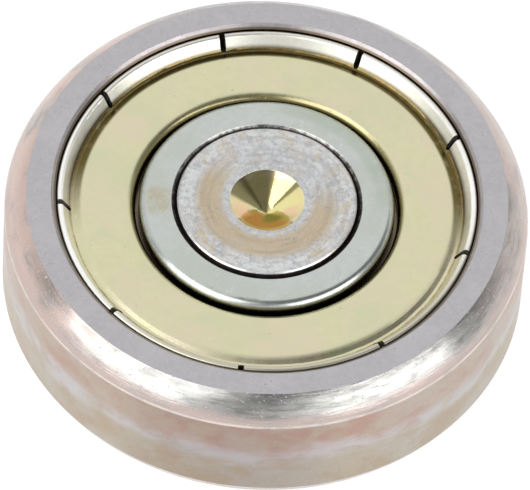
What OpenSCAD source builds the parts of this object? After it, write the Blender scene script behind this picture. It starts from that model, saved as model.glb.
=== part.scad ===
// Plain track roller on a solid axle pin, built round a shielded deep-groove ball bearing.
// The roller lies with its clamping end down: Z is the spin axis and z = 0 the clamping face.

/* [Roller] */
// Diameter of the running tread
tread_d = 35; // [31.5:0.1:50]
// Width of the outer ring between its two flat faces
roller_w = 10.8; // [10.5:0.1:16]
// Radial reach of the rounded corner, inward from the tread
corner_reach = 1.45; // [1.2:0.05:1.6]
// Depth of the rounded corner, down from the face
corner_depth = 1.95; // [1.6:0.05:2.3]
// Radius of the corner's arc, which meets the face and the tread at slight edges
corner_r = 4; // [2.4:0.1:8]

/* [Bearing] */
// Bore of the inner ring and diameter of the axle pin
bore_d = 12; // [8:0.1:13.6]
// Width of the inner ring
inner_w = 9.5; // [8.8:0.1:11.4]
// Diameter of the circle through the ball centres
pitch_d = 22; // [21:0.1:24]
// Diameter of one ball
ball_d = 5.95; // [5:0.05:6.3]
// Number of balls
ball_count = 7; // [5:1:7]
// Groove radius of both races as a share of the ball diameter
race_conformity = 0.52; // [0.51:0.005:0.55]
// Gap between a ball and the bottom of either race
race_play = 0.03; // [0.01:0.01:0.1]
// Height of the inner ring's shoulder above the bottom of its race
inner_shoulder = 1.05; // [0.7:0.05:1.3]
// Height of the outer ring's shoulder above the bottom of its race
outer_shoulder = 1.1; // [0.7:0.05:1.3]
// Step from the inner ring's shoulder down to its end lands
end_land_step = 0.5; // [0.3:0.05:0.8]
// Radius on the outer edge of the inner ring
inner_edge_r = 0.6; // [0.1:0.05:0.7]
// Chamfer on the bore of the inner ring
bore_chamfer = 0.38; // [0.1:0.01:0.6]

/* [Cage] */
// Thickness of the cage sheet
cage_t = 0.45; // [0.3:0.05:0.5]
// Radial width of the cage ribbon
cage_w = 2.2; // [1.8:0.1:3]
// Gap between a ball and its pocket
pocket_play = 0.12; // [0.05:0.01:0.2]
// Diameter of a rivet's shank
rivet_d = 0.8; // [0.5:0.05:1.1]
// Diameter of a rivet's domed head
rivet_head_d = 1.4; // [1.2:0.05:1.6]
// Height of a rivet's domed head
rivet_head_h = 0.35; // [0.2:0.05:0.5]

/* [Shields] */
// Thickness of the shield sheet
sheet_t = 0.35; // [0.25:0.01:0.4]
// Step from the bottom of the outer race out to the shield seat's bore
seat_rise = 0.1; // [0.05:0.01:0.4]
// Depth of the ledge that carries the shield, below the face
ledge_depth = 1.75; // [1.7:0.01:1.9]
// Depth of the undercut that the shield's foot snaps into
undercut = 0.2; // [0.1:0.01:0.3]
// Chamfer at the mouth of the shield seat
seat_chamfer = 0.3; // [0.1:0.01:0.5]
// Gap between the lip's skirt and the seat's bore
skirt_gap = 0.05; // [0.02:0.01:0.2]
// Depth of the lip's crest below the outer ring's face
lip_depth = 0.28; // [0.2:0.01:0.45]
// Radius of the lip's rounded crest
crest_r = 0.25; // [0.2:0.01:0.3]
// Radial width of the lip from its foot to its skirt
lip_w = 1; // [0.9:0.05:1.15]
// Radial width of the gutter's slope, from the shield's flat to the lip's foot
gutter_w = 0.7; // [0.6:0.05:1]
// Depth of the lip's foot below the shield's flat
gutter_depth = 0.3; // [0.1:0.01:0.3]
// Radius of the roll from the flat into the gutter
roll_r = 1.2; // [0.4:0.1:1.5]
// Radius of the gutter's bottom, between its slope and the lip
gutter_r = 0.25; // [0.1:0.01:0.3]
// Depth of the shield's flat below the outer ring's face
plate_depth = 1; // [0.9:0.01:1.1]
// Radius of the shield's inner edge where it curls down
curl_r = 0.75; // [0.45:0.01:0.85]
// Depth of the curled edge's tip below the outer ring's face
curl_depth = 2; // [1.75:0.05:2.2]
// Running gap between the curled edge and the inner ring
shield_gap = 0.22; // [0.1:0.01:0.4]
// Number of slots that cut the lip into tongues
slot_count = 9; // [3:1:18]
// Width of one slot
slot_w = 0.4; // [0.2:0.02:0.6]
// Turn of the first slot from the X axis
slot_turn = 26; // [0:1:40]

/* [Axle] */
// Height of the pin's front end above the inner ring's face
front_proud = 0.12; // [0:0.01:0.4]
// Chamfer on the pin's front edge
front_chamfer = 0.1; // [0.05:0.01:0.4]
// Mouth diameter of the drilled centre dimple
dimple_d = 5; // [2:0.1:6]
// Included angle of the dimple's cone
dimple_angle = 118; // [90:1:130]
// Height of the clamping end below the outer ring's rear face
rear_stand = 0.5; // [0.3:0.05:3]
// Chamfer on the clamping end's edge
rear_chamfer = 0.4; // [0.1:0.05:0.8]
// Core diameter of the tapped hole, 5 for an M6 thread
thread_core_d = 5; // [3.3:0.1:6.8]
// Depth of the tapped hole's straight wall
thread_depth = 6.5; // [4:0.1:7]
// Included angle of the drill point at the tapped hole's end
drill_angle = 118; // [110:1:140]
// Chamfer at the tapped hole's mouth
thread_chamfer = 0.5; // [0.2:0.05:0.6]

/* [Hidden] */
$fn = 128;
// Overlap of a cutter past the face that it opens
slack = 1;

half_w = roller_w / 2;
half_inner_w = inner_w / 2;
mid_z = half_w + rear_stand;
tread_r = tread_d / 2;
bore_r = bore_d / 2;
pitch_r = pitch_d / 2;
ball_r = ball_d / 2;
ball_step = 360 / ball_count;

// Races: the bottom, the shoulder and the centre of the groove's arc
race_r = race_conformity * ball_d;
outer_race_r = pitch_r + ball_r + race_play;
inner_race_r = pitch_r - ball_r - race_play;
outer_land_r = outer_race_r - outer_shoulder;
inner_land_r = inner_race_r + inner_shoulder;
end_land_r = inner_land_r - end_land_step;

// Cage pockets
pocket_r = ball_r + pocket_play;
cup_r = pocket_r + cage_t;

// Shield: radii from the seat inward and from the inner ring outward, heights from mid-width
seat_r = outer_race_r + seat_rise;
foot_r = seat_r + undercut;
ledge_y = half_w - ledge_depth;
skirt_r = seat_r - skirt_gap;
lip_in_r = skirt_r - lip_w;
curl_in_r = end_land_r + shield_gap;
flat_in_r = curl_in_r + curl_r;
plate_y = half_w - plate_depth;
curl_tip_y = half_w - curl_depth;
shoulder_y = curl_tip_y - shield_gap;
curl_centre = [flat_in_r, plate_y - curl_r];
curl_corner = [curl_in_r, plate_y];
crest_x = skirt_r - crest_r;
crest_y = half_w - lip_depth - crest_r;

// Largest share of the face, from the tread to the shield seat's mouth, that a corner may take
corner_share = 0.6;
corner_fit = min(1, corner_share * (tread_r - seat_r - seat_chamfer) / corner_reach);
corner_run = corner_fit * corner_reach;
corner_drop = corner_fit * corner_depth;
corner_arc_r = corner_fit * corner_r;

// Corner arc: its centre lies behind the middle of the chord from the face to the tread
corner_chord = norm([corner_run, corner_drop]);
corner_set_back = sqrt(corner_arc_r * corner_arc_r - corner_chord * corner_chord / 4);
corner_x = tread_r - corner_run / 2 - corner_set_back * corner_drop / corner_chord;
corner_y = half_w - corner_drop / 2 - corner_set_back * corner_run / corner_chord;

// Lip: the foot lies at the gutter's bottom, and the flank is tangent to the round crest
lip_foot = [lip_in_r, plate_y - gutter_depth];
flank_run = [crest_x, crest_y] - lip_foot;
flank_angle = atan2(flank_run.y, flank_run.x) + asin(crest_r / norm(flank_run));
ridge_y = lip_foot.y + lip_w * tan(flank_angle);
flank_down = [sin(flank_angle), -cos(flank_angle)];

// Gutter: its slope falls from the brink of the flat to the lip's foot
brink = [lip_in_r - gutter_w, plate_y];
slope_angle = atan2(gutter_depth, gutter_w);
slope_down = [-sin(slope_angle), -cos(slope_angle)];
flat_down = [0, -1];

// From a corner to the point that lies one unit inside both sides that meet there
function inward(side_1, side_2) = (side_1 + side_2) / (1 + side_1 * side_2);

roll_way = inward(flat_down, slope_down);
roll_centre = brink + roll_r * roll_way;
brink_under = brink + sheet_t * roll_way;
fold_way = inward(slope_down, flank_down);
gutter_centre = lip_foot - gutter_r * fold_way;
fold_under = lip_foot + sheet_t * fold_way;
belly_r = gutter_r + sheet_t;
skirt_under_y = fold_under.y + (skirt_r - sheet_t - fold_under.x) * tan(flank_angle);

// Axle pin ends
front_y = half_inner_w + front_proud;
rear_y = -half_w - rear_stand;
dimple_r = dimple_d / 2;
dimple_depth = dimple_r / tan(dimple_angle / 2);
thread_core_r = thread_core_d / 2;
drill_point = thread_core_r / tan(drill_angle / 2);

// Draws a shape and its mirror image across mid-width
module both_ends() {
    children();
    mirror([0, 1]) children();
}

// What the corner rounding takes off the outer ring's section
module corner_cut() {
    difference() {
        translate([corner_x, corner_y])
            square([tread_r - corner_x + slack, half_w - corner_y + slack]);
        translate([corner_x, corner_y]) circle(r = corner_arc_r);
    }
}

// Shield seat in one face: chamfered mouth, bore and the undercut above the ledge
module seat_cut() {
    undercut_y = ledge_y + sheet_t;
    polygon([
        [outer_land_r - slack, ledge_y],
        [foot_r, ledge_y],
        [foot_r, undercut_y],
        [seat_r, undercut_y],
        [seat_r, half_w - seat_chamfer],
        [seat_r + seat_chamfer + slack, half_w + slack],
        [outer_land_r - slack, half_w + slack]
    ]);
}

module outer_ring() {
    color("#b7b2b6") translate([0, 0, mid_z]) rotate_extrude() difference() {
        translate([outer_land_r, -half_w]) square([tread_r - outer_land_r, roller_w]);
        translate([outer_race_r - race_r, 0]) circle(r = race_r);
        both_ends() corner_cut();
        both_ends() seat_cut();
    }
}

// What the edge radius takes off an end of the inner ring's section
module inner_edge_cut() {
    difference() {
        translate([end_land_r - inner_edge_r, half_inner_w - inner_edge_r])
            square(inner_edge_r + slack);
        translate([end_land_r - inner_edge_r, half_inner_w - inner_edge_r])
            circle(r = inner_edge_r);
    }
}

module inner_ring() {
    color("#bec5c3") translate([0, 0, mid_z]) rotate_extrude() difference() {
        polygon([
            [bore_r, -half_inner_w + bore_chamfer],
            [bore_r + bore_chamfer, -half_inner_w],
            [end_land_r, -half_inner_w],
            [end_land_r, -shoulder_y],
            [inner_land_r, -shoulder_y],
            [inner_land_r, shoulder_y],
            [end_land_r, shoulder_y],
            [end_land_r, half_inner_w],
            [bore_r + bore_chamfer, half_inner_w],
            [bore_r, half_inner_w - bore_chamfer]
        ]);
        translate([inner_race_r + race_r, 0]) circle(r = race_r);
        both_ends() inner_edge_cut();
    }
}

// One turned pin: drilled dimple in the front end, blind tapped hole in the clamping end
module axle_pin() {
    color("#bfc0c6") translate([0, 0, mid_z]) rotate_extrude() polygon([
        [0, front_y - dimple_depth],
        [dimple_r, front_y],
        [bore_r - front_chamfer, front_y],
        [bore_r, front_y - front_chamfer],
        [bore_r, rear_y + rear_chamfer],
        [bore_r - rear_chamfer, rear_y],
        [thread_core_r + thread_chamfer, rear_y],
        [thread_core_r, rear_y + thread_chamfer],
        [thread_core_r, rear_y + thread_depth],
        [0, rear_y + thread_depth + drill_point]
    ]);
}

// What the round crest takes off the sharp ridge between the lip's flank and its skirt
module crest_cut() {
    reach = 2 * lip_w;
    translate([crest_x, crest_y]) difference() {
        polygon([[0, 0], [reach, 0], [reach, reach], reach * [-sin(flank_angle), cos(flank_angle)]]);
        circle(r = crest_r);
    }
}

// What lies between a tip and the circle that is tangent to the two sides of the corner there
module arc_sliver(tip, centre, radius, side_1, side_2) {
    difference() {
        polygon([tip, centre + radius * side_1, centre, centre + radius * side_2]);
        translate(centre) circle(r = radius);
    }
}

// Section of the pressed sheet: curled edge, flat, gutter, snap lip, skirt and foot.
// Where the sheet bends, the outline runs to the bend's centre and a circle clears the bend.
module shield_section() {
    difference() {
        polygon([
            [curl_in_r, curl_tip_y],
            curl_corner,
            brink,
            gutter_centre + gutter_r * slope_down,
            gutter_centre,
            gutter_centre + gutter_r * flank_down,
            [skirt_r, ridge_y],
            [skirt_r, ledge_y + sheet_t],
            [foot_r, ledge_y + sheet_t],
            [foot_r, ledge_y],
            [skirt_r - sheet_t, ledge_y],
            [skirt_r - sheet_t, skirt_under_y],
            fold_under,
            brink_under,
            [flat_in_r, plate_y - sheet_t],
            curl_centre,
            [curl_in_r + sheet_t, curl_centre.y],
            [curl_in_r + sheet_t, curl_tip_y]
        ]);
        translate(curl_centre) circle(r = curl_r - sheet_t);
        translate(gutter_centre) circle(r = gutter_r);
        arc_sliver(curl_corner + slack * [-1, 1], curl_centre, curl_r, [-1, 0], [0, 1]);
        arc_sliver(brink - slack * roll_way, roll_centre, roll_r, -flat_down, -slope_down);
        arc_sliver(fold_under + slack * fold_way, gutter_centre, belly_r, slope_down, flank_down);
        crest_cut();
    }
}

// One slot through the lip, its inner end rounded by the punch
module lip_slot() {
    slot_end = [lip_in_r + slot_w / 2, 0, ledge_y - slack];
    slot_h = ledge_depth + 2 * slack;
    translate(slot_end) cylinder(d = slot_w, h = slot_h);
    translate(slot_end - [0, slot_w / 2, 0]) cube([foot_r + slack - slot_end.x, slot_w, slot_h]);
}

module shield() {
    difference() {
        rotate_extrude() shield_section();
        for (i = [0:slot_count - 1]) rotate(slot_turn + i * 360 / slot_count) lip_slot();
    }
}

module front_shield() {
    color("#d5d0a6") translate([0, 0, mid_z]) shield();
}

module rear_shield() {
    color("#d5d0a6") translate([0, 0, mid_z]) mirror([0, 0, 1]) shield();
}

// One pressed half of the ball cage: a flat ribbon with a cup over every ball
module cage_half() {
    difference() {
        intersection() {
            union() {
                cylinder(r = pitch_r + cage_w, h = cage_t);
                for (i = [1:ball_count]) rotate(i * ball_step) translate([pitch_r, 0, 0]) sphere(r = cup_r);
            }
            cylinder(r = pitch_r + cage_w / 2, h = cup_r + slack);
        }
        translate([0, 0, -slack]) cylinder(r = pitch_r - cage_w / 2, h = cup_r + 2 * slack);
        for (i = [1:ball_count]) {
            rotate(i * ball_step) translate([pitch_r, 0, 0]) sphere(r = pocket_r);
            rotate((i + 0.5) * ball_step) translate([pitch_r, 0, -slack])
                cylinder(d = rivet_d, h = cage_t + 2 * slack);
        }
    }
}

module cage_front() {
    color("#9c9a94") translate([0, 0, mid_z]) cage_half();
}

module cage_rear() {
    color("#9c9a94") translate([0, 0, mid_z]) mirror([0, 0, 1]) cage_half();
}

// Domed head of a rivet, from the sphere through its rim and its crown
module rivet_head() {
    rim_r = rivet_head_d / 2;
    dome_r = (rim_r * rim_r + rivet_head_h * rivet_head_h) / (2 * rivet_head_h);
    translate([0, 0, cage_t]) intersection() {
        translate([0, 0, rivet_head_h - dome_r]) sphere(r = dome_r);
        cylinder(r = rim_r + slack, h = rivet_head_h + slack);
    }
}

module cage_rivets() {
    color("#8f8d88") translate([0, 0, mid_z]) for (i = [1:ball_count])
        rotate((i + 0.5) * ball_step) translate([pitch_r, 0, 0]) {
            cylinder(d = rivet_d, h = 2 * cage_t, center = true);
            rivet_head();
            mirror([0, 0, 1]) rivet_head();
        }
}

module ball(i) {
    color("#d8dadd") rotate(i * ball_step) translate([pitch_r, 0, mid_z]) sphere(r = ball_r);
}

outer_ring();
inner_ring();
axle_pin();
front_shield();
rear_shield();
cage_front();
cage_rear();
cage_rivets();
for (i = [1:ball_count]) ball(i);
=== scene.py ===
# %% [markdown]
# # A plain track roller, dressed for a studio picture
# The roller is a thick steel ring with a straight tread. It turns on a small ball bearing
# that is pressed on a solid axle pin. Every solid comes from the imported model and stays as
# it is. What this lesson adds is the light, the floor, the finish of each metal, and the
# one shape that the solids leave out: the fine screw thread inside the clamping end.

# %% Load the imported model
import math
import bpy
from mathutils import Matrix, Vector


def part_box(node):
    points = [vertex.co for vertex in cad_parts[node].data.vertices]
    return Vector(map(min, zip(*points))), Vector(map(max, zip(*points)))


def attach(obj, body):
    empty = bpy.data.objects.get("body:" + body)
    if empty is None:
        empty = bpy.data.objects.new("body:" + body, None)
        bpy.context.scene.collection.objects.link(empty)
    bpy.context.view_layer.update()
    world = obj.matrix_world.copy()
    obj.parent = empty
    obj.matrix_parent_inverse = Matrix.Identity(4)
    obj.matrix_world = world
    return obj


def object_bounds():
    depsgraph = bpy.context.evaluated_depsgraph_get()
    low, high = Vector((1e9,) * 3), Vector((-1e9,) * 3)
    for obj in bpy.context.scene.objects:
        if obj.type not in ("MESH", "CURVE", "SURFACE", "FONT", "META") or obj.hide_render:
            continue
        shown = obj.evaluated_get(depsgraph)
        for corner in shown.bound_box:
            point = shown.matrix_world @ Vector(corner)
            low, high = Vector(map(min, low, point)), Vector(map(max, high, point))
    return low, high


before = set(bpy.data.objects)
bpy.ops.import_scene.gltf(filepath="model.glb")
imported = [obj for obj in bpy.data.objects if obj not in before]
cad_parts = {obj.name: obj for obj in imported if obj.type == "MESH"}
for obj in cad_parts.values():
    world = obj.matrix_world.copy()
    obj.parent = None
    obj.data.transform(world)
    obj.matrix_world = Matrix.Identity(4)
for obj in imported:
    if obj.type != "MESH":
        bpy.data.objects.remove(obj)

MM = 0.001
cad_low, cad_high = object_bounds()
print("model box in mm:", [round(v / MM, 2) for v in (*cad_low, *cad_high)])

# %% [markdown]
# ## Measures that the finishes lean on
# A finish on a turned part changes with the distance from the spin axis and with the
# height. So the few circles and heights where one zone ends and the next begins are taken
# from the boxes of the parts. The circles that lie inside one part don't show in its box,
# so they are repeated here, in millimetres, as the finishes use them.

# %% Circles and heights
ring_low, ring_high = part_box("outer_ring")
inner_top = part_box("inner_ring")[1].z / MM
pin_low, pin_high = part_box("axle_pin")

mid_z = (ring_low.z + ring_high.z) / 2
MID_Z = mid_z / MM
HALF_W = (ring_high.z - mid_z) / MM
INNER_HALF_W = inner_top - MID_Z
TREAD_R = ring_high.x / MM
PIN_R = pin_high.x / MM
CORNER_DEPTH = 1.95
CORNER_REACH = 1.45
CORNER_EDGE_H = HALF_W - CORNER_DEPTH
SEAT_CHAMFER = 0.3
SEAT_R = 14.105
LIP_FOOT_R = 13.055
DIMPLE_R = 2.5
print("tread radius", round(TREAD_R, 3), "mm, mid-width at", round(MID_Z, 3), "mm")
print("half widths: ring", round(HALF_W, 3), "mm, inner ring", round(INNER_HALF_W, 3), "mm")

# %% [markdown]
# ## The camera
# A long lens from half a metre away keeps the circles nearly true, as a catalogue picture
# does. The camera looks down at the roller by a little over half a right angle, and is
# rolled a few degrees about its own line of sight.

# %% Place the camera
CAMERA_DISTANCE = 550 * MM
CAMERA_HEIGHT_ANGLE = math.radians(54.3)
CAMERA_ROLL = math.radians(3.9)
CAMERA_AIM = (-0.053 * MM, -0.155 * MM)
LENS_MM = 557
SENSOR_MM = 36
NEAREST, FARTHEST = 0.01, 20

roll_cos, roll_sin = math.cos(CAMERA_ROLL), math.sin(CAMERA_ROLL)
tip_cos, tip_sin = math.cos(CAMERA_HEIGHT_ANGLE), math.sin(CAMERA_HEIGHT_ANGLE)
view_right = Vector((roll_cos, tip_sin * roll_sin, tip_cos * roll_sin))
view_up = Vector((-roll_sin, tip_sin * roll_cos, tip_cos * roll_cos))
view_back = Vector((0, -tip_cos, tip_sin))

bpy.context.scene.view_settings.view_transform = "Standard"
camera_data = bpy.data.cameras.new("studio_camera")
camera_data.lens = LENS_MM
camera_data.sensor_width = SENSOR_MM
camera_data.clip_start, camera_data.clip_end = NEAREST, FARTHEST
camera = bpy.data.objects.new("studio_camera", camera_data)
bpy.context.scene.collection.objects.link(camera)
eye = Vector((0, 0, mid_z)) - CAMERA_AIM[0] * view_right + CAMERA_AIM[1] * view_up
eye += CAMERA_DISTANCE * view_back
axes = Matrix((view_right, view_up, view_back)).transposed()
camera.matrix_world = Matrix.Translation(eye) @ axes.to_4x4()
bpy.context.scene.camera = camera
print("camera at", [round(v, 3) for v in eye])

# %% [markdown]
# ## A short way to wire shader nodes
# Each finish is a small network of nodes. Wiring one by hand takes three lines per node:
# make it, set it and link it. The class below does the three in one call. A value that is
# a socket gets linked, and any other value is set.

# %% Wiring: short calls that add nodes
MIX_SHARE, MIX_UNDER, MIX_OVER, MIXED = 0, 6, 7, 2  # a Mix node's sockets for colours


class Wiring:
    """A tree of shader nodes, with short calls that add nodes to it."""

    def __init__(self, tree):
        self.tree = tree

    def put(self, socket, value):
        if isinstance(value, bpy.types.NodeSocket):
            self.tree.links.new(value, socket)
        elif isinstance(value, tuple) and socket.type == "RGBA":
            socket.default_value = (*value, 1)
        else:
            socket.default_value = value

    def node(self, kind, *values, out=0, **settings):
        """Adds a node. Settings that start with a capital letter name its sockets."""
        made = self.tree.nodes.new("ShaderNode" + kind)
        named = {key: value for key, value in settings.items() if key[0].isupper()}
        for key, value in settings.items():
            if key not in named:
                setattr(made, key, value)
        for place, value in enumerate(values):
            self.put(made.inputs[place], value)
        for key, value in named.items():
            self.put(made.inputs[key], value)
        return made.outputs[out]

    def math(self, operation, *values):
        return self.node("Math", *values, operation=operation)

    def times(self, first, *others):
        for other in others:
            first = self.math("MULTIPLY", first, other)
        return first

    def slope(self, value, low, high, to_low=0.0, to_high=1.0):
        """Follows the value from low to high in a soft curve, and stays level beyond."""
        return self.node("MapRange", value, low, high, to_low, to_high,
                         interpolation_type="SMOOTHSTEP")

    def split(self, vector):
        """The x, y and z of a vector, each in its own socket."""
        made = self.tree.nodes.new("ShaderNodeSeparateXYZ")
        self.put(made.inputs[0], vector)
        return made.outputs

    def ray_kinds(self, first, *others):
        """1 for light rays of these kinds, 0 for all others."""
        path = self.tree.nodes.new("ShaderNodeLightPath").outputs
        share = path[first]
        for other in others:
            share = self.math("MAXIMUM", share, path[other])
        return share


print("ready to wire nodes")

# %% [markdown]
# ## The steps of a finish
# Patterns are put together from sums, and from soft slopes between two limits. Most steps
# lay one colour over what is there, as a glaze is laid on a pot, and it is thin where one
# of its shares is small. That step gets its own call, so a finish reads like a recipe.

# %% Finish: a material and the steps that build it
class Finish(Wiring):
    """A material with a Principled shader, and the steps that its patterns need."""

    def __init__(self, name):
        self.material = bpy.data.materials.new(name)
        self.material.use_nodes = True
        super().__init__(self.material.node_tree)
        self.shader = self.tree.nodes["Principled BSDF"]

    def add(self, first, second):
        return self.math("ADD", first, second)

    def less(self, first, second):
        return self.math("SUBTRACT", first, second)

    def distance(self, first, second):
        return self.math("ABSOLUTE", self.less(first, second))

    def above(self, value, limit, soft):
        """1 over the limit, falling to 0 below it over the soft distance."""
        return self.slope(value, limit - soft, limit + soft)

    def below(self, value, limit, soft):
        """1 under the limit, falling to 0 above it over the soft distance."""
        return self.slope(value, limit - soft, limit + soft, 1, 0)

    def band(self, value, low, high, soft):
        return self.times(self.above(value, low, soft), self.below(value, high, soft))

    def noise(self, vector, scale, detail=3.0, roughness=0.5, distortion=0.0):
        return self.node("TexNoise", Vector=vector, Scale=scale, Detail=detail,
                         Roughness=roughness, Distortion=distortion)

    def spread(self, value, low, high, to_low=0.0, to_high=1.0):
        """Stretches the useful part of a pattern's range, and clips the rest."""
        return self.node("MapRange", value, low, high, to_low, to_high)

    def mix(self, share, under, over, blend="MIX"):
        made = self.tree.nodes.new("ShaderNodeMix")
        made.data_type = "RGBA"
        made.blend_type = blend
        self.put(made.inputs[MIX_SHARE], share)
        self.put(made.inputs[MIX_UNDER], under)
        self.put(made.inputs[MIX_OVER], over)
        return made.outputs[MIXED]

    def coat(self, under, color, *shares):
        """Lays a colour over what is there: 1 covers it, and 0 leaves it bare."""
        return self.mix(self.times(*shares), under, color)

    def metal(self, color, rough, relief, depth, strength):
        """Bare metal, with marks that are so many millimetres deep."""
        bump = self.node("Bump", Height=relief, Distance=depth * MM, Strength=strength)
        looks = {"Base Color": color, "Metallic": 1.0, "Roughness": rough, "Normal": bump}
        for socket, value in looks.items():
            self.put(self.shader.inputs[socket], value)
        return self.material


print("ready to mix finishes")

# %% [markdown]
# ## Coordinates for turned metal
# A lathe or a grinding wheel leaves marks that run round the axis. A pattern follows them
# when it changes slowly round the circle and quickly across it. These coordinates do that:
# they take the direction from the axis, which has no seam, and stretch it against the
# radius and the height. Hairline scratches come from a plain pattern, drawn only where its
# value is close to one half, as a contour line is on a map.

# %% Turned: a finish that knows its radius and height
class Turned(Finish):
    """A finish with the radius, the height and the direction from the spin axis, in mm."""

    def __init__(self, name):
        super().__init__(name)
        place = self.node("TexCoord", out="Object")
        self.point = self.node("VectorMath", place, operation="SCALE", Scale=1 / MM)
        x, y, self.z = self.split(self.point)
        self.half = self.distance(self.z, MID_Z)
        flat = self.node("CombineXYZ", x, y, 0.0)
        self.radius = self.node("VectorMath", flat, operation="LENGTH", out="Value")
        self.way = self.node("VectorMath", flat, operation="NORMALIZE")

    def lathe_noise(self, turn, across_radius, across_height, *character):
        """Noise drawn out round the axis: so much per radian, per mm out, per mm up."""
        x, y, _ = self.split(self.way)
        lift = self.add(self.times(self.radius, across_radius),
                        self.times(self.z, across_height))
        drawn = self.node("CombineXYZ", self.times(x, turn), self.times(y, turn), lift)
        return self.noise(drawn, 1.0, *character)

    def toward(self, degrees, low, high):
        """1 on the side of the part that lies in this direction from the axis."""
        angle = math.radians(degrees)
        side = (math.cos(angle), math.sin(angle), 0)
        along = self.node("VectorMath", self.way, side, operation="DOT_PRODUCT", out="Value")
        return self.slope(along, low, high)

    def hairlines(self, scale, width, patchy):
        """Thin scratches, broken up by a second pattern."""
        wander = self.noise(self.point, scale, 3, 0.55, 0.3)
        line = self.slope(self.distance(wander, 0.5), 0, width, 1, 0)
        return self.times(line, self.spread(self.noise(self.point, patchy, 2), 0.5, 0.64))


print("ready to wire turned finishes")

# %% [markdown]
# ## Working on one piece at a time
# Blender's operators act on everything that is selected, so each piece starts with nothing
# selected. A finished piece keeps its place in its mesh, and its object stays at the
# origin, so that a pattern on it never slides.

# %% Helpers for a new piece
def deselect_all():
    for thing in bpy.context.selected_objects:
        thing.select_set(False)


def start_piece(name):
    """Names the primitive that was just added, and puts its place into its mesh."""
    piece = bpy.context.view_layer.objects.active
    piece.name = piece.data.name = name
    bpy.ops.object.transform_apply(location=True, rotation=True, scale=True)
    return piece


def pick_corners(piece, wanted):
    """Selects the mesh corners that pass the test, and nothing else."""
    bpy.ops.object.mode_set(mode="OBJECT")
    for line in (*piece.data.edges, *piece.data.polygons):
        line.select = False
    for corner in piece.data.vertices:
        corner.select = wanted(corner.co)
    bpy.ops.object.mode_set(mode="EDIT")


print("ready to model")

# %% [markdown]
# ## The screw thread in the clamping end
# The roller is fastened by a screw from behind, so the hole in the clamping end has a fine
# metric thread. Seen from below, a thread is one small ridge that climbs as it turns. It
# could be faked with stripes of bump, but the hole's edge would then stay smooth. So the
# ridge is swept for real: a small triangle stands on the wall of the hole, and the Screw
# modifier carries it round and up, one pitch for each turn.

# %% Sweep the thread's ridge
THREAD_CORE_R = 2.5 * MM
THREAD_PITCH = 1.0 * MM
THREAD_RIDGE = 0.2 * MM
THREAD_CORNERS = 3
THREAD_TURNS = 5
THREAD_STEPS = 48
THREAD_START = pin_low.z + 0.75 * MM

deselect_all()
bpy.ops.mesh.primitive_circle_add(vertices=THREAD_CORNERS, radius=THREAD_RIDGE,
                                  location=(THREAD_CORE_R, 0, THREAD_START),
                                  rotation=(math.pi / 2, -math.pi / 2, 0))
thread = start_piece("tapped_thread")
print("section in mm:", [[round(c / MM, 2) for c in v.co] for v in thread.data.vertices])
sweep = thread.modifiers.new("sweep", "SCREW")
sweep.axis = "Z"
sweep.angle = math.tau
sweep.screw_offset = THREAD_PITCH
sweep.iterations = THREAD_TURNS
sweep.steps = sweep.render_steps = THREAD_STEPS
bpy.ops.object.modifier_apply(modifier="sweep")
print("ridge:", len(thread.data.polygons), "faces")

# %% [markdown]
# ## Let the thread run out
# A tap cuts less and less deep where its thread begins and ends, so the ridge fades into
# the wall over a few degrees. The last few sections at each end are picked by their place
# on the helix, and each is pushed outwards in edit mode a little more than the one before.
# Then the two ends are closed, doubles are merged and the normals are turned outwards.

# %% Shape the ends of the ridge
RUNOUT_STEPS = 8
MERGE_DISTANCE = 0.001 * MM
SMOOTH_ANGLE = math.radians(40)
step_angle = math.tau / THREAD_STEPS
helix_end = THREAD_START + THREAD_TURNS * THREAD_PITCH
thread_hand = 1 if thread.data.vertices[THREAD_CORNERS].co.y > 0 else -1


def on_section(place, step, start):
    """Whether a corner lies on the section so many steps along the helix."""
    angle = thread_hand * math.atan2(place.y, place.x) % math.tau
    off = (angle - step * step_angle + math.pi) % math.tau - math.pi
    rise = place.z - start - THREAD_PITCH * step / THREAD_STEPS
    return abs(off) < step_angle / 4 and abs(rise) < THREAD_PITCH / 2


bpy.context.view_layer.objects.active = thread
for count in range(RUNOUT_STEPS):
    push = 1 + THREAD_RIDGE / THREAD_CORE_R * (1 - count / RUNOUT_STEPS)
    for step, start in ((count, THREAD_START), (-count, helix_end)):
        pick_corners(thread, lambda place: on_section(place, step, start))
        bpy.ops.transform.resize(value=(push, push, 1), center_override=(0, 0, 0))
for start in (THREAD_START, helix_end):
    pick_corners(thread, lambda place: on_section(place, 0, start))
    bpy.ops.mesh.edge_face_add()
bpy.ops.mesh.select_all(action="SELECT")
bpy.ops.mesh.remove_doubles(threshold=MERGE_DISTANCE)
bpy.ops.mesh.normals_make_consistent(inside=False)
bpy.ops.object.mode_set(mode="OBJECT")
bpy.ops.object.shade_smooth_by_angle(angle=SMOOTH_ANGLE)
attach(thread, "axle")
print("thread:", len(thread.data.polygons), "faces, hand", thread_hand)

# %% [markdown]
# ## Finish of the roller ring
# The ring is ground on its two faces, turned on its tread and lightly passivated. The
# tread has the thin pink and tan film of the passivation. Running on a rail has rubbed a
# paler streak round its middle. The near side of the tread is darkened with painted
# shade, which stands in for the shaded floor that it mirrors.

# %% Colours of the tread
ROSY_FILM = (0.445, 0.355, 0.29), (0.44, 0.29, 0.235)
TAN_FILM = (0.445, 0.395, 0.325), (0.43, 0.35, 0.262)
DRY_TAN = (0.445, 0.425, 0.36)
PALE_CLOUD = (0.475, 0.425, 0.375)
BROWN_GRAIN = (0.33, 0.29, 0.26)
RUBBED_STREAK = (0.53, 0.52, 0.54)
# painted shade for the near side of the tread
NEAR_TREAD_SHADE = (0.80, 0.77, 0.78)
STREAK_REACH = 0.75
STREAK_WANDER = 4.0


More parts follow.
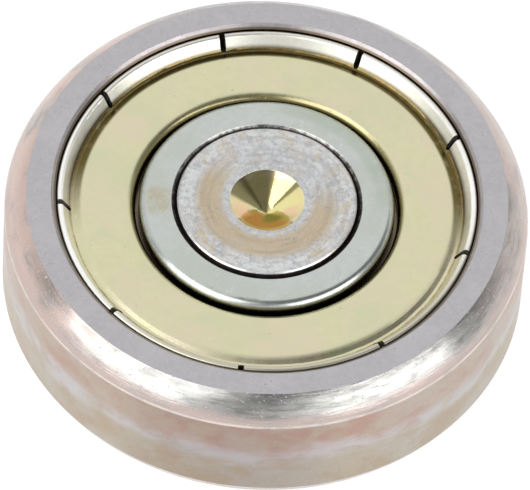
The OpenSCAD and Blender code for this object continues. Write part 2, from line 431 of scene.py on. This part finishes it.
def tread_color(f):
    film = f.lathe_noise(7.0, 0.0, 0.38, 4, 0.6, 0.5)
    cloud = f.lathe_noise(3.6, 0.0, 0.3, 3, 0.55, 0.3)
    streak = f.lathe_noise(6.5, 0.0, 0.75, 5, 0.65, 0.5)
    rosy = f.mix(f.slope(film, 0.42, 0.62), *ROSY_FILM)
    tan = f.mix(f.slope(film, 0.40, 0.62), *TAN_FILM)
    tan = f.coat(tan, DRY_TAN, f.slope(cloud, 0.5, 0.64), 0.7)
    color = f.mix(f.slope(f.z, MID_Z - 0.5, MID_Z + 0.9), tan, rosy)
    color = f.coat(color, PALE_CLOUD, f.slope(cloud, 0.46, 0.62, 0, 0.55))
    grain = f.noise(f.point, 3.2, 5, 0.65)
    color = f.coat(color, BROWN_GRAIN, f.slope(grain, 0.5, 0.7, 0, 0.35))
    wander = f.add(f.z, f.times(f.less(cloud, 0.5), STREAK_WANDER))
    rub = f.below(f.distance(wander, MID_Z), STREAK_REACH, 0.7)
    color = f.coat(color, RUBBED_STREAK, rub, f.slope(streak, 0.36, 0.6, 0.15, 0.75))
    # painted shade: the near side of the tread is darkened, as if it mirrored a shaded floor
    near_shade = f.times(f.toward(-95, 0.88, 1.0), f.slope(cloud, 0.3, 0.6, 0.75, 1.0))
    return f.mix(near_shade, color, f.mix(1.0, color, NEAR_TREAD_SHADE, "MULTIPLY")), streak


# %% [markdown]
# ## Colours of the corner
# The rounded corner was turned coarsely and knocked about. Its blotches are longer round
# the ring than across it, because they are old turning marks. Two sides blush with the
# tread's pink film, and so does the lower edge all the way round.

# %% Colours of the corner
CORNER_STEEL = (0.33, 0.33, 0.315), (0.44, 0.435, 0.425)
CORNER_BLOTCH = (0.46, 0.435, 0.42)
CORNER_MARK = (0.15, 0.15, 0.14)
CORNER_BLUSH = (0.60, 0.465, 0.415)
CORNER_FILM = (0.53, 0.43, 0.395)
CORNER_FILM_H = 0.75


def corner_color(f):
    blotch = f.lathe_noise(7.0, 0.0, 1.7, 3, 0.5, 0.3)
    broad = f.lathe_noise(4.6, 0.0, 0.7, 3, 0.55)
    fine = f.lathe_noise(9.0, 0.0, 4.5, 4, 0.6, 0.2)
    color = f.mix(f.slope(blotch, 0.36, 0.62), *CORNER_STEEL)
    color = f.coat(color, CORNER_BLOTCH, f.slope(broad, 0.44, 0.62), 0.5)
    marks = f.times(f.slope(fine, 0.46, 0.66), f.slope(broad, 0.6, 0.42))
    color = f.coat(color, CORNER_MARK, marks, 0.55)
    left, right = f.toward(172, 0.25, 0.9), f.times(f.toward(15, 0.6, 1.0), 0.6)
    blush = f.math("MAXIMUM", left, right)
    color = f.coat(color, CORNER_BLUSH, blush, f.slope(broad, 0.34, 0.6, 0.35, 1.0))
    low = f.band(f.half, CORNER_EDGE_H, CORNER_EDGE_H + CORNER_FILM_H, 0.3)
    return f.coat(color, CORNER_FILM, low, f.slope(broad, 0.3, 0.6, 0.6, 0.95)), blotch


# %% [markdown]
# ## Colours of the face and the seat
# The ground faces are a nearly even, cool lilac grey, with a fine grain and a few dark
# pits. The seat that holds the shield is darkened with painted shade: mottled brown round
# its mouth, more of it on the near side, and darker still deeper down.

# %% Colours of the face and the seat
FACE_STEEL = (0.445, 0.43, 0.455), (0.51, 0.49, 0.505)
FACE_CLOUD = (0.53, 0.53, 0.53)
FACE_PIT = (0.2, 0.19, 0.19)
# painted shade for the seat's mouth and for its deep wall
SEAT_MOUTH_SHADE = (0.22, 0.185, 0.16)
SEAT_DEEP_SHADE = (0.15, 0.115, 0.085)


def face_color(f):
    grain = f.noise(f.point, 2.6, 5, 0.62)
    speck = f.noise(f.point, 9.0, 2, 0.5)
    cloud = f.noise(f.point, 0.35, 3, 0.55)
    color = f.mix(f.spread(grain, 0.32, 0.68), *FACE_STEEL)
    color = f.coat(color, FACE_CLOUD, f.slope(cloud, 0.48, 0.68, 0, 0.4))
    pits = f.times(f.slope(speck, 0.61, 0.70), f.slope(grain, 0.5, 0.64))
    return f.coat(color, FACE_PIT, pits, 0.7), pits


def seat_color(f, color):
    ledge_h, mouth_r = HALF_W - SEAT_CHAMFER, SEAT_R + SEAT_CHAMFER
    # painted shade: the seat's mouth is darkened, more on the near side, and the seat deeper down
    mouth_mottle = f.noise(f.point, 1.1, 4, 0.6, 0.4)
    near = f.add(f.times(f.toward(-90, 0.2, 0.9), 0.5), 0.5)
    mouth = f.times(f.band(f.radius, SEAT_R, mouth_r, 0.04), f.above(f.half, ledge_h, 0.04))
    color = f.coat(color, SEAT_MOUTH_SHADE, mouth, f.slope(mouth_mottle, 0.35, 0.6, 0.6, 1.0), near)
    deep = f.below(f.half, ledge_h + 0.12, 0.05)
    return f.coat(color, SEAT_DEEP_SHADE, f.below(f.radius, mouth_r, 0.03), deep)


# %% [markdown]
# ## One material for the ring
# The zones are laid over each other in turn, and the sharp line where the corner meets
# the tread gets a pale painted highlight. The roughness and the bump use the same patterns
# as the colours, so a dark pit is also a hollow and a blotch of the corner is smoother.

# %% Ring finish
# painted highlight along the line where the corner meets the tread
EDGE_HIGHLIGHT = (0.74, 0.66, 0.60)
EDGE_HIGHLIGHT_H = 0.15
OUTSIDE_R = 17  # the tread and the foot of the corner lie beyond this circle


def ring_finish():
    f = Turned("ring_finish")
    outside = f.above(f.radius, OUTSIDE_R, 0.1)
    tread = f.times(f.below(f.half, CORNER_EDGE_H, 0.02), outside)
    corner = f.times(f.above(f.half, CORNER_EDGE_H, 0.02),
                     f.above(f.radius, TREAD_R - CORNER_REACH, 0.05))
    on_face, pits = face_color(f)
    on_tread, streak = tread_color(f)
    on_corner, blotch = corner_color(f)
    color = f.mix(tread, on_face, on_tread)
    color = f.mix(corner, color, on_corner)
    # painted highlight: a pale band on the edge between corner and tread
    edge = f.band(f.half, CORNER_EDGE_H, CORNER_EDGE_H + EDGE_HIGHLIGHT_H, 0.07)
    color = f.coat(color, EDGE_HIGHLIGHT, edge, outside, f.slope(streak, 0.35, 0.6, 0.3, 0.9))
    color = seat_color(f, color)
    marks = f.lathe_noise(9.0, 0.0, 14.0, 4, 0.6)
    rough = f.add(f.spread(marks, 0.3, 0.7, 0.27, 0.36), f.times(pits, 0.2))
    rough = f.less(rough, f.times(corner, f.slope(blotch, 0.4, 0.6, 0.06, 0.12)))
    relief = f.less(f.times(marks, 0.5), f.times(pits, 0.8))
    relief = f.add(relief, f.times(blotch, corner, 0.3))
    return f.metal(color, rough, relief, 0.05, 0.5)


ring_material = ring_finish()
print("ring finish:", len(ring_material.node_tree.nodes), "nodes")

# %% [markdown]
# ## Colours of the shields
# Each shield is pressed from thin sheet and yellow chromated, which gives a pale olive
# gold with faint pink and green clouds. The snap lip round its rim is rubbed bright when
# it is pressed home, so the film is thin there and the steel shows. Its near and far
# sides are darkened with painted shade.

# %% Colours of the shield's sheet and lip
CHROMATE = (0.655, 0.63, 0.405), (0.70, 0.665, 0.44)
PINK_CLOUD = (0.70, 0.62, 0.46)
GREEN_CLOUD = (0.60, 0.63, 0.41)
BRIGHT_LIP = (0.96, 0.955, 0.92)
# painted shade for the lip's near and far sides
SHADED_LIP = (0.80, 0.79, 0.70), (0.90, 0.89, 0.82)
NEAR_LIP_SHADE = (0.50, 0.47, 0.36)
FAR_LIP_SHADE = (0.66, 0.655, 0.60)


def sheet_color(f, mottle):
    cloud = f.noise(f.point, 0.3, 3, 0.55, 0.5)
    second = f.lathe_noise(3.0, 0.4, 0.0, 2, 0.5, 0.6)
    color = f.mix(f.spread(mottle, 0.32, 0.68), *CHROMATE)
    color = f.coat(color, PINK_CLOUD, f.slope(cloud, 0.4, 0.68), 0.75)
    return f.coat(color, GREEN_CLOUD, f.slope(second, 0.44, 0.72), 0.6)


def lip_color(f, speck):
    # painted shade: the lip is darker on its near and far sides
    near, far = f.toward(-75, 0.2, 0.9), f.toward(90, 0.2, 0.8)
    lip_shade = f.mix(f.spread(speck, 0.35, 0.65), *SHADED_LIP)
    color = f.mix(f.add(near, far), BRIGHT_LIP, lip_shade)
    color = f.coat(color, NEAR_LIP_SHADE, near, 0.8)
    return f.coat(color, FAR_LIP_SHADE, far, 0.5)


# %% [markdown]
# ## Pits and painted shade on the shields
# Painted shade darkens the gutter at the foot of the lip, mostly on the far side, and a
# painted shadow lies in the fold. Painted shade also darkens the sheet where it bends down
# at its inner edge and curls into the gap, the crest of the lip, and the hidden side of
# the sheet. A few dark pits are the sheet's own.

# %% Pits and painted shade of the shield
# painted shade in the gutter, mostly on the far side
GUTTER_SHADE = (0.135, 0.105, 0.035)
GUTTER_REACH = -0.62, 0.17  # mm from the foot of the lip
# painted shadow in the fold at the foot of the lip
FOLD_SHADOW = (0.33, 0.22, 0.10)
SHEET_PIT = (0.25, 0.2, 0.1)
# painted shade that dims the bend's highlight, and painted shade inside the curl
BEND_SHADE, BEND_R = (0.34, 0.29, 0.13), 9.16
CURL_SHADE, CURL_R, CURL_DROP = (0.20, 0.155, 0.095), 8.95, 1.35
# painted shade on the lip's crest, in the crevice by the seat
CREST_SHADE, CREST_W = (0.12, 0.095, 0.065), 0.13
# painted shade for the hidden side of the sheet
HIDDEN_SIDE_SHADE, HIDDEN_DROP = (0.14, 0.11, 0.08), 1.5


def shield_pits_and_shade(f, color, mottle, pits):
    inner, outer = (LIP_FOOT_R + reach for reach in GUTTER_REACH)
    # painted shade: the gutter at the lip's foot is darkened towards the far side
    gutter = f.times(f.band(f.radius, inner, outer, 0.12), f.toward(88, -0.34, 0.2))
    color = f.coat(color, GUTTER_SHADE, gutter, f.slope(mottle, 0.25, 0.5, 0.8, 1.0))
    # painted shadow: a brown line in the fold
    fold = f.band(f.radius, LIP_FOOT_R, LIP_FOOT_R + 0.1, 0.08)
    color = f.coat(color, FOLD_SHADOW, fold, f.slope(mottle, 0.4, 0.6), 0.8)
    color = f.coat(color, SHEET_PIT, pits, 0.6)
    # painted shade: the bend and the curl into the gap are darkened
    color = f.coat(color, BEND_SHADE, f.below(f.radius, BEND_R, 0.12), 0.85)
    curl = f.below(f.half, HALF_W - CURL_DROP, 0.15)
    color = f.coat(color, CURL_SHADE, f.below(f.radius, CURL_R, 0.08), curl)
    # painted shade: the crest of the lip is darkened
    color = f.coat(color, CREST_SHADE, f.above(f.radius, SEAT_R - CREST_W, 0.05), 0.85)
    # painted shade: the sheet's hidden side is darkened
    return f.coat(color, HIDDEN_SIDE_SHADE, f.below(f.half, HALF_W - HIDDEN_DROP, 0.05))


# %% [markdown]
# ## One material for both shields
# The worn lip starts a little way up from its foot, and it is rougher than the sheet.

# %% Shield finish
WORN_LIP_W = 0.12


def shield_finish():
    f = Turned("shield_finish")
    mottle = f.noise(f.point, 1.5, 5, 0.62)
    speck = f.noise(f.point, 5.0, 3, 0.6)
    lip = f.above(f.radius, LIP_FOOT_R + WORN_LIP_W, 0.07)
    pits = f.times(f.slope(speck, 0.66, 0.73), f.slope(mottle, 0.52, 0.62))
    color = sheet_color(f, mottle)
    color = f.coat(color, lip_color(f, speck), lip, f.slope(mottle, 0.25, 0.5, 0.75, 1.0))
    color = shield_pits_and_shade(f, color, mottle, pits)
    rough = f.add(f.spread(mottle, 0.3, 0.7, 0.2, 0.28), f.times(lip, 0.1))
    relief = f.less(f.add(f.times(mottle, 0.5), f.times(speck, 0.3)), pits)
    return f.metal(color, rough, relief, 0.03, 0.35)


shield_material = shield_finish()
print("shield finish:", len(shield_material.node_tree.nodes), "nodes")

# %% [markdown]
# ## Finish of the inner ring
# The inner ring is hardened and fine ground. It looks smooth and faintly blue green, with
# a few clouds of dried oil, one stain, and some hairline scratches. Painted shade darkens
# its back right side, its rounded rim, its chamfer by the pin and the lower part of its
# side. Black oil and painted shade fill the crevice where it meets the pin.

# %% Inner ring finish
FINE_GROUND = (0.52, 0.55, 0.53), (0.575, 0.60, 0.58)
OIL_HAZE = (0.50, 0.54, 0.475)
# painted shade for the back right side of the inner ring
RIGHT_SIDE_SHADE, RIGHT_SHADE_R = (0.45, 0.49, 0.42), 7.3
OIL_STAIN, STAIN_FROM_R, STAIN_TO_R = (0.49, 0.45, 0.34), 6.5, 8.0
PALE_SCRATCH = (0.85, 0.87, 0.87)
# painted shade that dims the rounded rim's highlight
RIM_SHADE, RIM_R = (0.34, 0.355, 0.35), 8.15
# painted shade that dims the chamfer's reflection
CHAMFER_SHADE, CHAMFER_W = ((0.12, 0.11, 0.1), (0.34, 0.34, 0.33)), 0.36
# black oil and painted shade in the crevice by the pin
CREVICE_OIL_AND_SHADE, CREVICE_W = (0.035, 0.025, 0.02), 0.22
# painted shade for the lower part of the side, inside the gap
SIDE_SHADE, SIDE_R, SIDE_DROP = (0.15, 0.12, 0.085), 8.2, 0.7


def inner_face_color(f, grain, scratch):
    haze = f.noise(f.point, 0.35, 3, 0.55)
    color = f.mix(f.spread(grain, 0.32, 0.68), *FINE_GROUND)
    color = f.coat(color, OIL_HAZE, f.slope(haze, 0.42, 0.62), 0.6)
    # painted shade: the back right side is darkened
    right_shade = f.times(f.toward(45, 0.55, 0.95), f.slope(haze, 0.35, 0.6, 0.6, 1.0))
    color = f.coat(color, RIGHT_SIDE_SHADE, right_shade, f.above(f.radius, RIGHT_SHADE_R, 0.3))
    stain = f.times(f.toward(184, 0.983, 0.997), f.band(f.radius, STAIN_FROM_R, STAIN_TO_R, 0.3))
    color = f.coat(color, OIL_STAIN, stain, f.slope(grain, 0.35, 0.6, 0.3, 0.9))
    return f.coat(color, PALE_SCRATCH, scratch, 0.6)


def inner_finish():
    f = Turned("inner_ring_finish")
    grain = f.noise(f.point, 2.2, 5, 0.62)
    scratch = f.hairlines(0.9, 0.006, 1.2)
    color = inner_face_color(f, grain, scratch)
    # painted shade: the rounded rim is darkened
    rim = f.above(f.radius, RIM_R, 0.12)
    color = f.coat(color, RIM_SHADE, rim, f.slope(grain, 0.35, 0.65, 0.25, 0.6))
    # painted shade: the chamfer by the pin is darkened and mottled
    chamfer_shade = f.mix(f.slope(grain, 0.42, 0.6), *CHAMFER_SHADE)
    color = f.coat(color, chamfer_shade, f.below(f.radius, PIN_R + CHAMFER_W, 0.04))
    # black oil and painted shade fill the crevice
    crevice = f.below(f.radius, PIN_R + CREVICE_W, 0.05)
    color = f.coat(color, CREVICE_OIL_AND_SHADE, crevice)
    # painted shade: the lower part of the side is darkened
    low = f.below(f.half, INNER_HALF_W - SIDE_DROP, 0.15)
    color = f.coat(color, SIDE_SHADE, f.above(f.radius, SIDE_R, 0.1), low)
    rough = f.add(f.spread(grain, 0.3, 0.7, 0.2, 0.28), f.times(crevice, 0.3))
    relief = f.add(f.times(grain, 0.5), f.times(scratch, 0.4))
    return f.metal(color, rough, relief, 0.02, 0.35)


inner_material = inner_finish()
print("inner ring finish:", len(inner_material.node_tree.nodes), "nodes")

# %% [markdown]
# ## Finish of the axle pin
# The pin's end is faced on a lathe, so fine rings run round it. A tan film lies on the
# middle rings of one side, and the rim is scuffed pale and stained in places.

# %% Colours of the pin's end
SCUFFED_END = (0.44, 0.455, 0.475), (0.67, 0.68, 0.68)
WARM_PATCH = (0.61, 0.55, 0.50)
TAN_RINGS, TAN_FROM_R, TAN_TO_R = (0.54, 0.435, 0.29), 3.05, 4.65
PALE_RIM, PALE_FROM_R, PALE_TO_R = (0.72, 0.73, 0.72), 4.95, 5.8
RIM_STAIN, STAINED_FROM_R, STAINED_TO_R = (0.60, 0.52, 0.33), 4.9, 5.6
GREY_RINGS = (0.40, 0.375, 0.34)
DARK_SCRATCH = (0.26, 0.25, 0.24)
DARK_DOT = (0.22, 0.20, 0.20)


def pin_face_color(f):
    rings = f.lathe_noise(1.3, 3.0, 0.0, 4, 0.62, 0.3)
    scuff = f.noise(f.point, 2.3, 6, 0.7, 0.5)
    patch = f.noise(f.point, 0.7, 4, 0.6, 0.5)
    speck = f.noise(f.point, 7.5, 3, 0.6)
    color = f.mix(f.spread(scuff, 0.36, 0.62), *SCUFFED_END)
    color = f.coat(color, WARM_PATCH, f.slope(patch, 0.46, 0.62), 0.6)
    tan = f.times(f.band(f.radius, TAN_FROM_R, TAN_TO_R, 0.35),
                  f.less(1.0, f.toward(75, 0.0, 0.75)), f.slope(rings, 0.32, 0.6, 0.7, 1.0))
    color = f.coat(color, TAN_RINGS, tan, f.slope(scuff, 0.3, 0.5, 0.8, 1.0))
    edge = f.band(f.radius, PALE_FROM_R, PALE_TO_R, 0.15)
    color = f.coat(color, PALE_RIM, edge, f.slope(scuff, 0.42, 0.56), 0.6)
    rim = f.band(f.radius, STAINED_FROM_R, STAINED_TO_R, 0.25)
    color = f.coat(color, RIM_STAIN, rim, f.slope(patch, 0.54, 0.63), 0.6)
    color = f.coat(color, GREY_RINGS, f.slope(rings, 0.48, 0.64, 0, 0.4))
    color = f.coat(color, DARK_SCRATCH, f.hairlines(1.5, 0.022, 0.5), 0.6)
    dots = f.times(f.slope(speck, 0.6, 0.68), f.slope(patch, 0.42, 0.55))
    return f.coat(color, DARK_DOT, dots, 0.55), rings, scuff


# %% [markdown]
# ## Colours of the dimple
# The drilled dimple was cut last and never rubbed, so it keeps a bright gold film. Its
# sectors carry painted reflections, as a mirror cone shows its own far side: a painted
# highlight on the right, pale gold on the left, orange on the near side with moss green
# near the tip, and rose gold on two sides.

# %% Colours of the dimple
CUT_GOLD = (0.58, 0.53, 0.24), (0.64, 0.54, 0.26)
# painted highlight and painted reflections for the dimple's sectors
GOLD_HIGHLIGHT = (0.82, 0.75, 0.36)
PALE_GOLD_REFLECTION = (0.76, 0.69, 0.36)
ORANGE_REFLECTION, ORANGE_FROM_R, ORANGE_TO_R = (0.60, 0.315, 0.125), 0.4, 2.3
MOSS_REFLECTION, MOSS_FROM_R, MOSS_TO_R = (0.27, 0.29, 0.07), 0.1, 1.35
ROSE_REFLECTION, ROSE_FROM_R, ROSE_TO_R = (0.84, 0.57, 0.38), 1.2, 2.2
DIMPLE_RIM, RIM_FROM_R = (0.74, 0.64, 0.42), 2.15


def dimple_color(f):
    swirl = f.noise(f.point, 0.9, 3, 0.5, 0.8)
    color = f.mix(f.spread(swirl, 0.35, 0.65), *CUT_GOLD)
    # painted highlight on the right, painted reflections on the other sectors
    color = f.coat(color, GOLD_HIGHLIGHT, f.toward(10, 0.8, 0.98))
    color = f.coat(color, PALE_GOLD_REFLECTION, f.toward(172, 0.9, 0.99), 0.8)
    cone = f.band(f.radius, ORANGE_FROM_R, ORANGE_TO_R, 0.25)
    color = f.coat(color, ORANGE_REFLECTION, f.toward(-100, 0.3, 0.85), cone, 0.95)
    tip = f.band(f.radius, MOSS_FROM_R, MOSS_TO_R, 0.3)
    color = f.coat(color, MOSS_REFLECTION, f.toward(-66, 0.7, 0.97), tip)
    sides = f.math("MAXIMUM", f.toward(-160, 0.9, 0.99), f.toward(-14, 0.95, 0.995))
    color = f.coat(color, ROSE_REFLECTION, sides, f.band(f.radius, ROSE_FROM_R, ROSE_TO_R, 0.3), 0.8)
    rim = f.band(f.radius, RIM_FROM_R, DIMPLE_R, 0.12)
    return f.coat(color, DIMPLE_RIM, rim, f.slope(swirl, 0.4, 0.6, 0.2, 0.8))


# %% [markdown]
# ## One material for the pin
# The dimple is the part of the front that lies inside its own rim, and it is smoother.
# The shank and the clamping end have the finish of the pin's end.

# %% Pin finish
def pin_finish():
    f = Turned("pin_finish")
    color, rings, scuff = pin_face_color(f)
    dimple = f.times(f.below(f.radius, DIMPLE_R, 0.02), f.above(f.z, MID_Z, 0.1))
    color = f.mix(dimple, color, dimple_color(f))
    around = f.less(1.0, f.times(dimple, 0.8))
    rough = f.times(f.spread(scuff, 0.3, 0.7, 0.28, 0.40), around)
    relief = f.times(f.add(f.times(rings, 0.9), f.times(scuff, 0.5)), around)
    return f.metal(color, rough, relief, 0.035, 0.4)


pin_material = pin_finish()
print("pin finish:", len(pin_material.node_tree.nodes), "nodes")

# %% [markdown]
# ## Finishes inside the bearing
# The cage, its rivets and the balls are hidden behind the shields, apart from a glimpse
# through the lip's slots. The cage is plain pressed sheet, dull and a little oily. The
# balls are lapped, so they are the smoothest metal here.

# %% Cage and ball finishes
OILED = (0.36, 0.31, 0.2)
INSIDE_METALS = {  # dark grain, light grain, least and most roughness, relief in mm
    "cage_finish": ((0.30, 0.295, 0.28), (0.40, 0.39, 0.37), 0.35, 0.5, 0.02),
    "rivet_finish": ((0.27, 0.265, 0.25), (0.38, 0.37, 0.36), 0.3, 0.45, 0.02),
    "ball_finish": ((0.62, 0.63, 0.64), (0.70, 0.71, 0.72), 0.06, 0.12, 0.004),
}


def inside_finish(name, dark, light, least, most, relief):
    f = Turned(name)
    grain = f.noise(f.point, 2.8, 5, 0.62)
    oil = f.noise(f.point, 0.5, 3, 0.55, 0.5)
    color = f.mix(f.spread(grain, 0.3, 0.7), dark, light)
    color = f.coat(color, OILED, f.spread(oil, 0.5, 0.66), 0.35)
    return f.metal(color, f.spread(grain, 0.3, 0.7, least, most), grain, relief, 0.3)


cage_material, rivet_material, ball_material = (
    inside_finish(name, *metal) for name, metal in INSIDE_METALS.items())
print("inside finishes:", cage_material.name, rivet_material.name, ball_material.name)

# %% [markdown]
# ## Dress the parts
# A part keeps its mesh and gets its finish by a change of material in its slots. The two
# shields share one finish, and so do the two halves of the cage and the seven balls.

# %% Give every part its finish
finishes = {"outer_ring": ring_material, "inner_ring": inner_material, "axle_pin": pin_material,
            "front_shield": shield_material, "rear_shield": shield_material,
            "cage_front": cage_material, "cage_rear": cage_material, "cage_rivets": rivet_material}
for name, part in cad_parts.items():
    finish = finishes.get(name, ball_material)
    for place in part.material_slots:
        place.material = finish
thread.data.materials.clear()
thread.data.materials.append(pin_material)
print("finished:", len(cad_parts), "parts")

# %% [markdown]
# ## The floor
# The floor is a wide pale sheet. What the camera sees of it is close to white, and the
# object's own shadow still shows, because part of its light is the lamps' and only part
# is its own. Metal sees the floor as the camera does, so the tread reflects white.

# %% Floor material
FLOOR_PAINT = (0.8, 0.8, 0.8)
FLOOR_SHOWN = (0.32, 0.32, 0.32)
FLOOR_GLOW = 0.8
FLOOR_RADIUS = 0.9
FLOOR_CORNERS = 96
FLOOR_GAP = 0.02 * MM
WHITE = (1, 1, 1)


def floor_finish():
    f = Finish("pale_floor")
    f.tree.nodes.remove(f.shader)
    matte = f.node("BsdfDiffuse", Color=FLOOR_PAINT)
    shown = f.node("BsdfDiffuse", Color=FLOOR_SHOWN)
    glow = f.node("Emission", Color=WHITE, Strength=FLOOR_GLOW)
    pale = f.node("AddShader", shown, glow)
    seen = f.ray_kinds("Is Camera Ray", "Is Glossy Ray", "Is Transmission Ray")
    surface = f.node("MixShader", seen, matte, pale)
    f.put(f.tree.nodes["Material Output"].inputs["Surface"], surface)
    return f.material


deselect_all()
bpy.ops.mesh.primitive_circle_add(vertices=FLOOR_CORNERS, radius=FLOOR_RADIUS, fill_type="NGON",
                                  location=(0, 0, cad_low.z - FLOOR_GAP))
floor = start_piece("studio_floor")
floor.data.materials.append(floor_finish())
print("floor radius:", floor.dimensions.x / 2, "m")

# %% [markdown]
# ## The room
# White walls close the room, and polished metal mirrors them. So the places where the
# room is dark matter as much as the lamps: they draw the shape of every curve. One large
# dark patch hangs overhead, towards the right. A smaller one stands at the right, with a
# faint one below it, and two more faint ones stand in front, between the lamps. A narrow
# post at the left marks the edge of the left soft box. The camera itself sees plain white
# behind the roller.

# %% Directions in the room
ROOM_LIGHT = 1.0
DARK_PATCHES = (  # degrees left, degrees high, dark heart, outer edge, light that is left
    (-45, 58, 20, 42, 0.22),
    (-106, 40, 14, 26, 0.3),
    (-92, 9, 9, 18, 0.6),
    (0, 33, 6, 16, 0.62),
    (0, 5, 5, 14, 0.72),
    (92, 18, 3, 8, 0.4),
    (92, 31, 3, 8, 0.4),
    (92, 44, 3, 8, 0.4),
)


def from_angles(left, height):
    """The direction from the roller that lies so far left of the camera and so high."""
    turn, rise = math.radians(left), math.radians(height)
    flat = Vector((-math.sin(turn), -math.cos(turn), 0)) * math.cos(rise)
    return flat + Vector((0, 0, math.sin(rise)))


print("right of the camera:", [round(v, 2) for v in from_angles(-90, 0)])

# %% [markdown]
# ## Light from the room
# The world's shader measures how far each direction is from the middle of every patch,
# and multiplies the room's light by what each patch leaves of it.

# %% Build the room
def studio_room():
    world = bpy.data.worlds.new("studio_room")
    bpy.context.scene.world = world
    world.use_nodes = True
    f = Wiring(world.node_tree)
    f.tree.nodes.clear()
    look = f.node("TexCoord")
    light = ROOM_LIGHT
    for left, height, heart, edge, level in DARK_PATCHES:
        way = tuple(from_angles(left, height))
        along = f.node("VectorMath", look, way, operation="DOT_PRODUCT", out="Value")
        rim, middle = (math.cos(math.radians(reach)) for reach in (edge, heart))
        light = f.times(f.slope(along, rim, middle, 1, level), light)
    room = f.node("Background", Color=WHITE, Strength=light)
    plain = f.node("Background", Color=WHITE, Strength=1.0)
    through = f.ray_kinds("Is Camera Ray", "Is Transmission Ray")
    seen = f.node("MixShader", through, room, plain)
    f.put(f.tree.nodes.new("ShaderNodeOutputWorld").inputs["Surface"], seen)
    return world


print("room:", len(studio_room().node_tree.nodes), "nodes")

# %% [markdown]
# ## The soft boxes
# Two soft boxes stand in front, a large one high on the left and a smaller one lower on
# the right. Each is an area lamp that faces the roller. Its power follows from how bright
# it should look and how large it is, so it can be resized without changing its glow.

# %% Place the soft boxes
SOFT_BOXES = (  # name, degrees left, degrees high, metres away, width, height, glow
    ("soft_box_left", 50, 36, 0.6, 0.57, 0.68, 1.9),
    ("soft_box_right", -49, 24, 0.6, 0.55, 0.46, 2.3),
)

for name, left, height, away, width, tall, glow in SOFT_BOXES:
    lamp = bpy.data.lights.new(name, "AREA")
    lamp.shape = "RECTANGLE"
    lamp.size, lamp.size_y = width, tall
    lamp.energy = glow * math.pi * width * tall
    box = bpy.data.objects.new(name, lamp)
    bpy.context.scene.collection.objects.link(box)
    way = from_angles(left, height)
    box.location = Vector((0, 0, mid_z)) + way * away
    box.rotation_euler = way.to_track_quat("Z", "Y").to_euler()
    print(name, "gives", round(lamp.energy, 2), "W")
